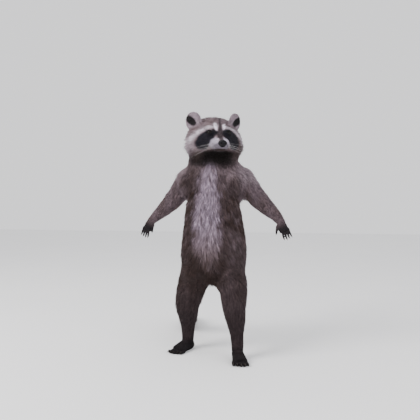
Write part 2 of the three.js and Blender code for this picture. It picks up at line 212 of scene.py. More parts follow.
def smooth_chain(rows, steps=6):
    """A table's rows carried smoothly from each to the next: a Catmull-Rom curve through each column."""
    rows = np.asarray(rows, float)
    ends = np.vstack([2 * rows[0] - rows[1], rows, 2 * rows[-1] - rows[-2]])
    spans = len(rows) - 1
    at = np.linspace(0, spans, spans * steps + 1)
    span = np.minimum(at.astype(int), spans - 1)
    share = (at - span)[:, None]
    before, start, end, after = ends[span], ends[span + 1], ends[span + 2], ends[span + 3]
    bend = 2 * before - 5 * start + 4 * end - after
    twist = 3 * start - before - 3 * end + after
    return 0.5 * (2 * start + (end - before) * share + bend * share**2 + twist * share**3)


# Each chain runs down the middle of a part. Its columns: the spot (x, y, z), how far the coat reaches from
# it, how deep the coat is there, and how long its hair is.
chains = {
    "trunk": [
        (2, 3, 512, 50, 8, 20),
        (1, 4, 486, 57, 8, 22),
        (0, 3, 452, 60, 9, 24),
        (0, 1, 416, 63, 9, 26),
        (1, -3, 376, 67, 9, 27),
        (2, -7, 335, 70, 9, 27),
        (3, -8, 292, 75, 9, 27),
        (3, -5, 250, 78, 9, 26),
        (2, -1, 212, 74, 8, 24),
        (2, 0, 180, 50, 7, 20),
    ],
    "tail": [
        (-4, 34, 210, 27, 8, 19),
        (-34, 64, 190, 29, 10, 22),
        (-70, 92, 160, 30, 12, 23),
        (-98, 116, 122, 31, 13, 24),
        (-114, 144, 80, 31, 13, 25),
        (-124, 182, 43, 31, 13, 26),
        (-134, 224, 30, 31, 12, 26),
        (-144, 264, 24, 26, 10, 25),
        (-151, 296, 18, 17, 6, 21),
        (-154, 312, 16, 10, 4, 18),
    ],
}
HAND_INWARD = {LEFT: 5, RIGHT: 0}
KNEE = {LEFT: (59.5, -30), RIGHT: (-64, -1)}
ANKLE = {LEFT: (68.5, -36), RIGHT: (-69, 13)}
TOE_OUT = math.radians(20)
for name, side in SIDES.items():
    inward = HAND_INWARD[side]
    chains[f"arm_{name}"] = [
        (side * 30, 8, 450, 34, 8, 23),
        (side * 64, 15, 424, 35, 8, 21),
        (side * 98, 19, 387, 28, 7, 17),
        (side * 129.5, 19, 355.5, 21.5, 5.5, 13),
        (side * 149, 16, 338, 16, 3.6, 10),
        (side * 165 - inward / 2, 12, 322, 11.5, 2, 6.5),
        (side * 171 - inward, 11, 311, 10.5, 1.3, 4.6),
        (side * 177 - inward, 10, 300, 9.5, 0.6, 3.6),
        (side * 181 - inward, 11, 288, 9, -0.3, 2.7),
        (side * 184 - inward, 13, 276, 8, -0.3, 2.1),
    ]
    knee, ankle = np.array(KNEE[side]), np.array(ANKLE[side])
    calf, shin = knee + (ankle - knee) * 0.5, knee + (ankle - knee) * 0.8
    chains[f"leg_{name}"] = [
        (2 + side * 37, knee[1] * 0.2, 232, 41, 8, 24),
        (2 + side * 45, knee[1] * 0.25 - 2, 196, 46, 8.5, 21),
        (2 + side * 5 + knee[0] * 0.8, knee[1] * 0.6 - 2, 156, 42, 7.5, 17),
        (*knee, 118, 34.5, 6, 13.5),
        (*calf, 88, 27.5, 4.6, 10.5),
        (*shin, 59, 20, 3.2, 8),
        (*ankle, 34, 16.5, 2, 6),
        (*ankle, 20, 15, 1.4, 4.6),
    ]
    toes = np.array([side * math.sin(TOE_OUT), -math.cos(TOE_OUT)])
    chains[f"foot_{name}"] = [
        (*(ankle - 12 * toes), 11, 12, 1.2, 5),
        (*(ankle + 4 * toes), 13, 14, 1.2, 5),
        (*(ankle + 20 * toes), 11, 14, 1.1, 4.4),
        (*(ankle + 37 * toes), 8, 13, 0.3, 3.8),
        (*(ankle + 50 * toes), 5, 10, -0.4, 3),
        (*(ankle + 60 * toes), 4, 8, -0.4, 2.6),
    ]
chains = {name: smooth_chain(rows) for name, rows in chains.items()}
for chain in chains.values():
    chain[:, :3] = placed(chain[:, :3])
    chain[:, 3:] *= MM

# The head's own chain, from the nape to the nose, lies on the head: ahead, up, reach, depth and hair.
skull_rows = [
    (-58, -3, 28, 8, 21),
    (-50, -4, 36, 8, 21),
    (-36, -3, 51, 8, 18),
    (-15, -3, 59, 6, 14),
    (8, -4, 63, 6.5, 13),
    (28, -8, 60, 5, 10),
    (46, -13, 47, 3.2, 7.5),
    (61, -17, 34, 2.2, 5.4),
    (74, -21, 22, 1.6, 4.2),
    (90, -25, 17, 1.2, 3.4),
    (103, -29, 12.5, 1, 2.8),
    (113, -29, 8, 1, 2.4),
]
skull_chain = smooth_chain([(0, *row) for row in skull_rows])
skull_chain[:, :3] = placed_on_head(skull_chain[:, :3])
skull_chain[:, 3:] *= MM
chains["head"] = skull_chain

EAR_SIZE = np.array([25, 9.5, 28])
EAR_SPOT = np.array([47.5, 9, 35.5])
EAR_TURN = 0.7
EAR_LEAN = 0.35
EAR_DEPTH = 0.9
EAR_HAIR = 5.0


def ear_axes(side):
    """An ear's own across, ahead and up, as rows on the head: turned outwards, then leaned."""
    turn, lean = side * EAR_TURN, -side * EAR_LEAN
    turned = np.array([[math.cos(turn), -math.sin(turn), 0], [math.sin(turn), math.cos(turn), 0], [0, 0, 1]])
    leaned = np.array([[math.cos(lean), 0, math.sin(lean)], [0, 1, 0], [-math.sin(lean), 0, math.cos(lean)]])
    return (np.diag([-1, 1, 1]) @ leaned @ turned).T


def seen_from_ear(points, side):
    """How far each point lies across, ahead and up from the middle of an ear, in millimetres."""
    return (seen_from_head(points) - EAR_SPOT * [side, 1, 1]) @ ear_axes(side).T


def unit(vectors):
    """Each vector at length one."""
    return vectors / np.maximum(np.linalg.norm(vectors, axis=-1, keepdims=True), 1e-12)


def rise(value, low, high):
    """0 below the low value and 1 above the high one, with a smooth step between."""
    share = np.clip((value - low) / (high - low), 0, 1)
    return share * share * (3 - 2 * share)


def follow(chain, points):
    """The nearest place on a chain to each point: how far out the point is against the reach there, how far
    along it is from 0 to 1, the chain's own columns there, the way that the chain runs, and the angle round
    it."""
    ways = chain[1:, :3] - chain[:-1, :3]
    nearest = np.full(len(points), np.inf)
    at = np.zeros(len(points))
    for span, way in enumerate(ways):
        start = chain[span]
        share = np.clip((points - start[:3]) @ way / (way @ way), 0, 1)
        gap = np.linalg.norm(points - start[:3] - share[:, None] * way, axis=1)
        out = gap / (start[3] + share * (chain[span + 1, 3] - start[3]))
        closer = out < nearest
        nearest[closer] = out[closer]
        at[closer] = span + share[closer]
    span = np.minimum(at.astype(int), len(ways) - 1)
    share = (at - span)[:, None]
    row = chain[span] * (1 - share) + chain[span + 1] * share
    way = unit(ways)[span]
    offset = points - row[:, :3]
    ahead = unit(np.array([0.0, -1.0, 0.0]) - way * way[:, 1:2] * -1)
    across = np.cross(way, ahead)
    angle = np.arctan2((offset * across).sum(1), (offset * ahead).sum(1))
    return nearest, at / len(ways), row, way, angle


PARTS = [*chains, "ear_left", "ear_right"]
CLOSE_BLEND = 0.09
BLEND = np.array([0.2 if name.startswith(("trunk", "arm", "leg", "tail")) else CLOSE_BLEND for name in PARTS])
# On the fingers the coat is a film. In the ruff it is deeper and longer, and it stands out by more still.
FINGER_DEPTH = -0.3
FINGER_HAIR = 2.2
RUFF_DEPTH = 6
RUFF_HAIR = 11
RUFF_STAND = 4
TAIL_FLATTENED = 0.14
NOSE_TIP = [0, 112, -14]


def survey(points):
    """What the body is at each point: each part's share of it, how near the next part is, how deep the coat
    is and how high it stands, the length of its hair and the way it lies, and the place along and round the
    main part."""
    outs, depths, stands, hairs, lies, alongs, angles = [], [], [], [], [], [], []
    on_head = seen_from_head(points)
    for name, chain in chains.items():
        out, along, row, way, angle = follow(chain, points)
        depth, hair, lie = row[:, 4], row[:, 5], way
        if name == "trunk":
            spread = np.clip((points[:, 0] - STAND[0]) / (34 * MM), -1, 1)
            flare = 0.3 + 0.55 * rise(-points[:, 2], -0.3, -0.2)
            lie = way + (flare * spread)[:, None] * [1, 0, 0]
        if name.startswith("leg"):
            outwards = np.sign(chain[-1, 0] - STAND[0]) * 0.5 * rise(points[:, 2], 0.13, 0.24)
            lie = unit(way + outwards[:, None] * [1, 0, 0])
        if name.startswith("arm"):
            lie = unit(way - 0.25 * UP)
            digits = rise(along, 0.55, 0.66) * rise(out, 0.9, 1.3)
            depth = depth - (depth - FINGER_DEPTH * MM) * digits
            hair = hair - (hair - FINGER_HAIR * MM) * digits
            out = out * (1 - 0.5 * rise(along, 0.5, 0.62))
        if name == "head":
            ruff = rise(np.abs(on_head[:, 0]), 38, 66) * rise(-on_head[:, 2], -14, 12)
            ruff *= 1 - rise(on_head[:, 1], 30, 50)
            depth = depth + RUFF_DEPTH * MM * ruff
            hair = hair + RUFF_HAIR * MM * ruff
            swept = (on_head - NOSE_TIP) * [0.9, 0.8, 0.7] + ruff[:, None] * [0, 0, -36]
            lie = unit(swept @ HEAD_AXES)
        stand = depth
        if name == "head":
            stand = depth + RUFF_STAND * MM * ruff
        if name == "tail":
            stand = depth - TAIL_FLATTENED * depth
        outs.append(out)
        depths.append(depth)
        stands.append(stand)
        hairs.append(hair)
        lies.append(lie)
        alongs.append(along)
        angles.append(angle)
    for side in (LEFT, RIGHT):
        seen = seen_from_ear(points, side)
        outs.append(np.linalg.norm(seen / EAR_SIZE, axis=1) * 1.02)
        depths.append(np.full(len(points), EAR_DEPTH * MM))
        stands.append(depths[-1])
        hairs.append(np.full(len(points), EAR_HAIR * MM))
        fan = seen * [0.02, 0, 0] + [0, 0, 1]
        lies.append(unit(fan @ ear_axes(side) @ HEAD_AXES))
        alongs.append(np.clip(seen[:, 2] / EAR_SIZE[2] / 2 + 0.5, 0, 1))
        angles.append(np.arctan2(seen[:, 0], seen[:, 1] * 2))
    outs = np.stack(outs)
    nearest, second = np.partition(outs, 1, axis=0)[:2]
    weights = np.exp((nearest - outs) / CLOSE_BLEND)
    weights /= weights.sum(0)
    blend = np.exp((nearest - outs) / BLEND[:, None])
    blend /= blend.sum(0)
    most = outs.argmin(0)
    pick = np.arange(len(points))
    return {
        "weights": weights,
        "blend": blend,
        "most": most,
        "apart": second - nearest,
        "depth": (blend * np.stack(depths)).sum(0),
        "stand": (blend * np.stack(stands)).sum(0),
        "hair": (blend * np.stack(hairs)).sum(0),
        "lie": unit((blend[..., None] * np.stack(lies)).sum(0)),
        "along": np.stack(alongs)[most, pick],
        "angle": np.stack(angles)[most, pick],
    }


def share_of(found, *names, blend="weights"):
    """How much each surveyed point belongs to these parts together, by the close or the wide blend."""
    return sum(found[blend][PARTS.index(name)] for name in names)


# The markings, as the colours of the hair in its outer half; some also serve as painted shade or sheen.
def linear(red, green, blue):
    """A colour named by its screen values from 0 to 255, as light."""
    value = np.array([red, green, blue]) / 255
    return np.where(value > 0.04045, ((value + 0.055) / 1.055) ** 2.4, value / 12.92)


GREY = linear(122, 107, 114)
BROWN = linear(78, 63, 60)
FLANK = linear(55, 42, 38)
PALE = linear(172, 155, 172)
PALE_LOW = linear(142, 124, 128)
WHITE = linear(250, 240, 252)
CROWN = linear(124, 109, 115)
MASK = linear(31, 29, 36)
BRIDGE = linear(58, 49, 53)
CHEEK = linear(166, 152, 160)
JAW = linear(70, 57, 55)
THROAT_AND_SHADOW = linear(16, 12, 10)
MUZZLE = linear(190, 181, 196)
LIP = linear(112, 105, 114)
EAR_RIM = linear(142, 128, 137)
EAR_DARK = linear(26, 23, 25)
FORELIMB = linear(100, 86, 91)
THIGH = linear(76, 64, 66)
SHANK = linear(58, 48, 50)
HAND = linear(35, 31, 34)
FOOT = linear(28, 24, 26)
TAIL_PALE = linear(136, 120, 114)
TAIL_DARK = linear(34, 28, 28)


def stripe(flat, path, soft):
    """How far each flat point is inside a stripe: 1 within its half width of a path, whose rows are across,
    up and half width, and falling smoothly to 0 over the soft edge."""
    path = np.asarray(path, float)
    inside = np.full(len(flat), -np.inf)
    for start, end in zip(path[:-1], path[1:]):
        way = end[:2] - start[:2]
        share = np.clip((flat - start[:2]) @ way / (way @ way), 0, 1)
        gap = np.linalg.norm(flat - start[:2] - share[:, None] * way, axis=1)
        inside = np.maximum(inside, start[2] + share * (end[2] - start[2]) - gap)
    return rise(inside, -soft, soft)


def ripple(points, size, seed):
    """Smooth chance variation from about -1 to 1, in blotches of this size: waves in random ways, added."""
    chance = np.random.default_rng(seed)
    ways = unit(chance.normal(size=(7, 3))) * chance.uniform(0.7, 1.5, (7, 1))
    phases = chance.uniform(0, 2 * math.pi, 7)
    return np.sin(points @ ways.T * (2 * math.pi / size) + phases).sum(1) / 2.6


BROW_SPOT = [(9, 13, 2.5), (10, 22, 4.6), (11, 27, 2.6)]
BROW_STREAK = [(13, 20, 2.6), (24, 19, 3), (35, 15.5, 3.4), (46, 8.5, 3.8), (55, -2, 4), (60, -12, 3.5)]
MASK_PATCH = [(9, 4, 5.5), (17, 4, 9.5), (25, -4, 14.5), (31, -11, 16.5), (35, -17, 14.5)]
MUZZLE_SIDE = [(9, -13, 3.6), (14, -18, 6.2), (18, -23, 3.8)]
BRIDGE_LINE = [(0, 52, 2), (0, 36, 2.6), (0, 20, 3), (0, 9, 4.6), (0, 0, 6), (0, -12, 5.5)]
# How far the marks of the forehead lean to the head's left at each level.
LEAN = [(-8, 0), (5, 3.4), (20, 6), (36, 9), (50, 12)]
# The pale strip on the belly: each level's middle and half width.
BELLY_STRIP = np.array([(202, 9, 0), (215, 8, 11), (238, 6, 24), (265, 3, 31), (303, 2, 32), (341, 2, 31),
                        (380, 2, 26), (418, 2, 21), (450, 1, 15), (480, 1, 8)]).T
TAIL_RINGS = 6.5


def paint(points, found):
    """The hair's colour at each surveyed point, painted shade and sheen included, and its grizzle, 0 to 1."""
    across, behind, height = ((points - STAND) / MM).T
    left, ahead, up = seen_from_head(points).T
    flat = np.stack([np.abs(left - np.interp(up, *np.transpose(LEAN))), up], 1)
    blotch = ripple(points, 0.05, 3)
    fleck = ripple(points * [1, 1, 0.45], 0.016, 4)
    streak = ripple(points * [1, 1, 0.3], 0.008, 5)

    def mix(colour, other, share):
        """Each point's colour, moved by its share of the way to another."""
        return colour + (other - colour) * np.clip(share, 0, 1)[:, None]

    # The trunk: grizzled along the back, dark on the flanks, with a pale strip down the throat and belly.
    # Painted shadow lies under the chin, and painted shade darkens its right breast and hip.
    front = rise(-behind, -10, 34)
    body = mix(GREY, BROWN, 0.35 + 0.3 * blotch)
    # On the upper chest the flanks' dark fades, less on its right side, so that painted shade darkens the
    # right breast.
    fading = (0.2 + 0.35 * rise(across, -15, 15)) * rise(height, 385, 432)
    flank = rise(-behind, -56, -4) * (1 - fading)
    body = mix(body, FLANK, flank * (0.78 + 0.22 * fleck))
    # Painted shade darkens the lower trunk on its right side, and painted light pales it a little low on its
    # left.
    body = mix(body, FLANK, (0.8 - 0.45 * rise(across, 5, 50)) * rise(-height, -290, -195))
    body = mix(body, GREY, 0.2 * rise(across, 25, 60) * rise(-height, -300, -262))
    middle, half_width = (np.interp(height, BELLY_STRIP[0], column) for column in BELLY_STRIP[1:])
    ragged = np.abs(across - middle) - half_width - 4 * fleck - 2.5 * streak
    fainter = 1 - 0.5 * rise(-height, -275, -228)
    strip = front * (1 - rise(ragged, -19, 9)) * rise(half_width, 0, 9) * fainter
    pale = mix(PALE, PALE_LOW, rise(-height, -330, -225))
    body = mix(body, pale, strip * (0.8 + 0.34 * streak))
    # Painted shadow under the chin: the throat's dark fur is laid over with near-black.
    shadow_under_chin = rise(height, 446, 462) * front * (1 - rise(np.abs(across), 42, 66))
    body = mix(body, THROAT_AND_SHADOW, 0.92 * shadow_under_chin)
    grizzle = 1 - 0.7 * strip

    # The limbs darken towards the hands and feet. A painted sheen pales the left shoulder, and painted shade
    # keeps the right thigh darker than the left.
    arms = share_of(found, "arm_left", "arm_right", blend="blend")
    low = rise(np.abs(across), 60, 150)
    arm = mix(mix(GREY, FORELIMB, low), BROWN, 0.22 + 0.3 * blotch)
    arm = mix(arm, CROWN, 0.85 * rise(height, 402, 436))
    # A painted sheen: the top of the left shoulder is paled towards the cheeks' colour.
    arm = mix(arm, CHEEK, 0.35 * rise(across, 40, 70) * rise(height, 395, 430))
    reach = 0.49 * np.abs(across) - 0.87 * height
    arm = mix(arm, HAND, rise(reach, -202, -180))
    legs = share_of(found, "leg_left", "leg_right", "foot_left", "foot_right", blend="blend")
    # The thighs take some of the flanks' dark brown at random; painted shade gives the right thigh more of it
    # than the left.
    thigh = mix(THIGH, FLANK, 0.3 + 0.3 * blotch - 0.3 * rise(across, -20, 30))
    leg = mix(thigh, SHANK, rise(-height, -150, -70))
    leg = mix(leg, FOOT, rise(-height, -38, -16))
    body = mix(mix(body, arm, arms), leg, legs * rise(-height, -262, -205))
    grizzle = grizzle * (1 - 0.6 * rise(-height, -60, -30)) * (1 - rise(reach, -210, -185))

    # The tail is ringed, with a dark tip.
    tails = share_of(found, "tail")
    along = np.where(found["most"] == PARTS.index("tail"), found["along"], 0)
    ring = rise(np.cos((along * TAIL_RINGS + 0.1) * 2 * math.pi) + 0.25 * fleck, -0.25, 0.35)
    ring = np.maximum(ring, rise(along, 0.88, 0.92))
    body = mix(body, mix(TAIL_PALE, TAIL_DARK, ring), tails * rise(along, 0.02, 0.12))

    # The head, from the general to the small: crown, jaw, cheeks, mask, brows, bridge and muzzle.
    # The chin carries painted shadow, and the left cheek painted shade.
    heads = share_of(found, "head", "ear_left", "ear_right")
    before = rise(ahead, 2, 26)
    face = mix(CROWN, BROWN, 0.22 + 0.2 * fleck)
    lower = rise(-up, 24, 42)
    face = mix(face, JAW, lower * (1 - rise(np.abs(left), 44, 66)))
    face = mix(face, CHEEK, rise(np.abs(left), 48, 64) * rise(-up, -6, 8))
    # The chin under the muzzle: dark fur with painted shadow over it, in the same near-black.
    chin = rise(-up, 31, 38) * (1 - rise(np.abs(left), 24, 52)) * before
    face = mix(face, THROAT_AND_SHADOW, chin)
    # Painted shade: low on the head's left cheek, the fur is darkened towards the jaw's brown.
    shaded = rise(left, 38, 50) * rise(-up, 0, 12) * rise(ahead, -26, -10)
    face = mix(face, JAW, 0.85 * shaded)
    streaks = 0.56 * stripe(flat + (1.2 * fleck)[:, None], BROW_STREAK, 4)
    brow = np.maximum(stripe(flat, BROW_SPOT, 2.2), streaks) * before
    face = mix(face, WHITE, 0.95 * brow)
    mask = stripe(flat + (0.8 * fleck)[:, None], MASK_PATCH, 2.2) * rise(ahead, 10, 22)
    face = mix(face, MASK, mask)
    bridge = stripe(flat, BRIDGE_LINE, 1.6) * rise(ahead, -25, 5)
    face = mix(face, BRIDGE, 0.92 * bridge)
    snout = rise(ahead, 70, 78)
    face = mix(face, LIP, snout * rise(-up, 18, 25))
    muzzle = stripe(flat, MUZZLE_SIDE, 2.6) * rise(ahead, 62, 72)
    face = mix(face, MUZZLE, muzzle * (1 - 0.8 * bridge))
    face = mix(face, LIP, 0.6 * muzzle * rise(-up, 16, 27))
    face = mix(face, 0.6 * JAW, snout * rise(-up - 0.12 * (ahead - 80), 32.2, 35))
    for name, side in SIDES.items():
        aside, deep, above = seen_from_ear(points, side).T
        outwards, upwards = -side * aside - 5.5, above - 9.5
        bowl = np.hypot((0.5 * outwards + 0.86 * upwards) / 19, (0.86 * outwards - 0.5 * upwards) / 10.5)
        ear = mix(EAR_RIM, EAR_DARK, (1 - rise(bowl, 0.7, 1.1)) * rise(deep, -2, 1))
        ear = mix(ear, EAR_DARK, rise(-deep, 1, 4) * (1 - rise(above, 8, 20)))
        face = mix(face, ear, share_of(found, f"ear_{name}") / np.maximum(heads, 1e-6))
    body = mix(body, face, heads)
    smooth = np.maximum.reduce([mask, brow, muzzle, share_of(found, "ear_left", "ear_right")])
    grizzle = grizzle * (1 - heads) + heads * (1 - smooth)
    return np.clip(body, 0.002, 1), np.clip(grizzle, 0, 1)


def closed_copy(name):
    """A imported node's surface with its shared corners made one: points, their outward ways, and faces."""
    shape = bmesh.new()
    shape.from_mesh(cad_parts[name].data)
    bmesh.ops.remove_doubles(shape, verts=shape.verts, dist=1e-6)
    shape.normal_update()
    points = np.array([corner.co for corner in shape.verts])
    ways = np.array([corner.normal for corner in shape.verts])
    faces = [[corner.index for corner in face.verts] for face in shape.faces]
    shape.free()
    return points, ways, faces


def ring_bands(around, rings, first=0):
    """The faces between rings of points that follow each other, numbered from the first point."""
    here = np.arange(around)
    beside = (here + 1) % around
    faces = []
    for row in range(first, first + (rings - 1) * around, around):
        faces += np.stack([row + here, row + here + around, row + beside + around, row + beside], 1).tolist()
    return faces


def turned_over(faces):
    """The same faces seen from their other side, each with the same first corner."""
    return [[face[0], *face[:0:-1]] for face in faces]


def ball_faces(around, rows):
    """The faces of rings between two poles, numbered last: the bands, then a fan round each pole."""
    here = np.arange(around)
    beside = (here + 1) % around
    top, last = (rows - 1) * around, (rows - 2) * around
    faces = ring_bands(around, rows - 1)
    faces += np.stack([np.full(around, top), here, beside], 1).tolist()
    return faces + np.stack([np.full(around, top + 1), last + beside, last + here], 1).tolist()


def ball(centre, radius, around=32, rows=20):
    """A sphere: rings between two poles, as points and faces that point outwards."""
    turn = np.arange(around) * 2 * math.pi / around
    fall = np.arange(1, rows) * math.pi / rows
    rings = np.stack(
        [
            np.sin(fall)[:, None] * np.cos(turn),
            np.sin(fall)[:, None] * np.sin(turn),
            np.cos(fall)[:, None] + 0 * turn,
        ],
        -1,
    ).reshape(-1, 3)
    return centre + radius * np.vstack([rings, [0, 0, 1], [0, 0, -1]]), ball_faces(around, rows)


flesh = ["chest", "belly", "neck", "head", "muzzle", "jaw", "ear_left", "ear_right"]
flesh += ["tail_root", "tail_middle", "tail_tip"]
for name in SIDES:
    flesh += [f"{part}_{name}" for part in ("upper_arm", "forearm", "hand", "thigh", "shin", "foot")]

lumps, lump_faces = [], []


def add_lump(points, faces):
    """Adds a closed surface to the lumps that are fused, with its corners numbered on from theirs."""
    start = sum(len(lump) for lump in lumps)
    lumps.append(points)
    lump_faces.extend([corner + start for corner in face] for face in faces)


DIGIT_REACH = {"hand": 36, "foot": 30}
for name in flesh:
    points, ways, faces = closed_copy(name)
    grown = np.full(len(points), SWELL * MM)
    if name.startswith(("hand", "foot")):
        tips = chains[name.replace("hand", "arm")][-1, :3]
        reach = DIGIT_REACH[name[:4]] * MM
        near_tips = 1 - rise(np.linalg.norm(points - tips, axis=1), reach * 0.7, reach)
        grown = grown - (SWELL + DIGIT_DRAW) * MM * near_tips
    add_lump(points + ways * grown[:, None], faces)
for side in (LEFT, RIGHT):
    add_lump(*ball(placed_on_head(EYE * [side, 1, 1]), (EYE_RADIUS + LID + 2.2) * MM))
# Soft flesh fills the folds of the groin, the hips and the breast: middles and half-sizes, on the left.
FILLS = [((42, -24, 204), (33, 42, 32)), ((46, 2, 212), (37, 50, 30)), ((54, -14, 418), (32, 36, 36))]
FILLS += [((24, -6, 172), (22, 36, 20))]
for spot, half in FILLS:
    for side in (LEFT, RIGHT):
        points, faces = ball(np.zeros(3), 1)
        add_lump(placed(np.array(spot) * [side, 1, 1] + points * half), faces)
rough = mesh_object("rough_skin", np.vstack(lumps), lump_faces)
fuse = rough.modifiers.new("fuse", "REMESH")
fuse.mode = "VOXEL"
fuse.voxel_size = VOXEL * MM


def worked_mesh(piece):
    """A piece's mesh after its modifiers, as points and faces, one row of corner numbers for each face."""
    mesh = piece.evaluated_get(bpy.context.evaluated_depsgraph_get()).to_mesh()
    points = np.empty(len(mesh.vertices) * 3)
    mesh.vertices.foreach_get("co", points)
    corners = np.empty(len(mesh.loops), np.int32)
    mesh.loops.foreach_get("vertex_index", corners)
    sizes = np.empty(len(mesh.polygons), np.int32)
    mesh.polygons.foreach_get("loop_total", sizes)
    return points.reshape(-1, 3), corners.reshape(-1, sizes[0])


points, faces = worked_mesh(rough)
bpy.data.objects.remove(rough)


def outward(points, faces):
    """The outward way at each point, the average of its faces' own."""
    across = points[faces[:, 2]] - points[faces[:, 0]]
    other = points[faces[:, -1]] - points[faces[:, 1]]
    normal = np.cross(across, other)
    total = np.zeros_like(points)
    for column in range(faces.shape[1]):
        for axis in range(3):
            total[:, axis] += np.bincount(faces[:, column], normal[:, axis], len(points))
    return unit(total)


def edges_of(faces):
    """The two ends of each edge, once."""
    ends = np.concatenate([faces[:, [i, (i + 1) % faces.shape[1]]] for i in range(faces.shape[1])])
    return ends[ends[:, 0] < ends[:, 1]]


def relaxed(values, ends, rounds, share):
    """Values at the points, drawn each round towards the mean of their neighbours by a share of the way."""
    number = np.bincount(ends[:, 0], minlength=len(values)) + np.bincount(ends[:, 1], minlength=len(values))
    for _ in range(rounds):
        total = np.zeros_like(values)
        for axis in range(values.shape[1]):
            total[:, axis] = np.bincount(ends[:, 0], values[ends[:, 1], axis], len(values))
            total[:, axis] += np.bincount(ends[:, 1], values[ends[:, 0], axis], len(values))
        values = values + share * (total / number[:, None] - values)
    return values


# Where the hair is long the form is smoothed, most of all where two parts join, and then it is drawn in.
grounded = points[:, 2] < (0.7 - SWELL) * MM
found = survey(points)
edges = edges_of(faces)
close = rise(found["hair"], 4 * MM, 9 * MM)[:, None]
shaggy = rise(found["hair"], 15 * MM, 22 * MM)[:, None]
points = points + (relaxed(points, edges, 8, 0.5) - points) * (0.16 + 0.84 * close)
points = points + (relaxed(points, edges, 50, 0.8) - points) * shaggy
joining = 1 - rise(found["apart"], 0.12, 0.45)[:, None]
points = points + (relaxed(points, edges, 150, 0.8) - points) * shaggy * joining
ways = relaxed(outward(points, faces), edges, 6, 0.5)
draw = relaxed((found["depth"] + SWELL * MM)[:, None], edges, 6, 0.5)
points = points - unit(ways) * draw
points[grounded, 2] = 0
points[:, 2] = np.maximum(points[:, 2], 0)
points = points + (relaxed(points, edges, 4, 0.5) - points) * close

# The lids close over each eyeball, and leave an almond that is open along the gaze.
GAZE = unit(np.array([0.42, 0.9, 0.1]))
OPEN = np.radians([42, 30, 25])  # to each corner, up and down
SLANT = math.radians(12)
SUNK = 1.6  # how far the skin inside the opening lies under the eyeball's surface


def eye_frame(side):
    """An eye's middle, and its gaze, its outward way and its upward way, in the shared frame."""
    gaze = unit(GAZE * [side, 1, 1]) @ HEAD_AXES
    out = unit(np.cross(gaze, UP) * -side)
    out = out if (out @ HEAD_LEFT) * side > 0 else -out
    up = unit(UP - gaze * gaze[2])
    slanted = out * math.cos(SLANT) - up * math.sin(SLANT)
    return placed_on_head(EYE * [side, 1, 1]), gaze, slanted, up * math.cos(SLANT) + out * math.sin(SLANT)


def seen_from_eye(points, side):
    """How far each point lies from the middle of an eye, the way to it, how far out it is in the almond
    between the lids, which is 1 along the lids' edge, and whether it is near enough to belong to them."""
    centre, gaze, out, up = eye_frame(side)
    away = np.linalg.norm(points - centre, axis=1)
    toward = (points - centre) / away[:, None]
    aside = np.arctan2(toward @ out, toward @ gaze)
    above = np.arctan2(toward @ up, toward @ gaze)
    opening = np.hypot(aside / OPEN[0], above / np.where(above > 0, OPEN[1], OPEN[2]))
    return away, toward, opening, (away < (EYE_RADIUS + 5) * MM) & (toward @ gaze > 0.25)


for side in (LEFT, RIGHT):
    centre = eye_frame(side)[0]
    away, toward, opening, near = seen_from_eye(points, side)
    rim = EYE_RADIUS + 0.5 + 0.9 * rise(opening, 1.0, 1.3)
    lid = EYE_RADIUS - SUNK + (rim - EYE_RADIUS + SUNK) * rise(opening, 0.9, 1.0)
    changed = away + (lid * MM - away) * (1 - rise(opening, 1.25, 1.75))
    points[near] = (centre + toward * changed[:, None])[near]

# The lips meet in a groove that runs back along the muzzle and falls a little on its way.
LIP_LEVEL = -34
LIP_DEPTH = 1.3
on_head = seen_from_head(points)
lip_gap = np.abs(on_head[:, 2] - LIP_LEVEL + 0.12 * (on_head[:, 1] - 80))
groove = (1 - rise(lip_gap, 0.5, 2.4)) * rise(on_head[:, 1], 60, 68)
points = points - outward(points, faces) * (LIP_DEPTH * MM * groove)[:, None]

hide = mesh_object("rough_skin", points, faces)
thin = hide.modifiers.new("thin", "DECIMATE")
thin.ratio = SKIN_FACES / (2 * len(faces))
hide.modifiers.new("halve", "TRIANGULATE")
points, faces = worked_mesh(hide)
bpy.data.objects.remove(hide)
ways = outward(points, faces)


def growth_attributes(piece, colour, strand, along, grizzle):
    """Writes each point's marking, its strand's tone with painted shade, its place along it, and its grizzle.
    """
    marking = piece.data.color_attributes.new("marking", "FLOAT_COLOR", "POINT")
    marking.data.foreach_set("color", np.column_stack([colour, np.ones(len(colour))]).ravel())
    growth = piece.data.color_attributes.new("growth", "FLOAT_COLOR", "POINT")
    growth.data.foreach_set("color", np.column_stack([strand, along, grizzle, np.ones(len(strand))]).ravel())


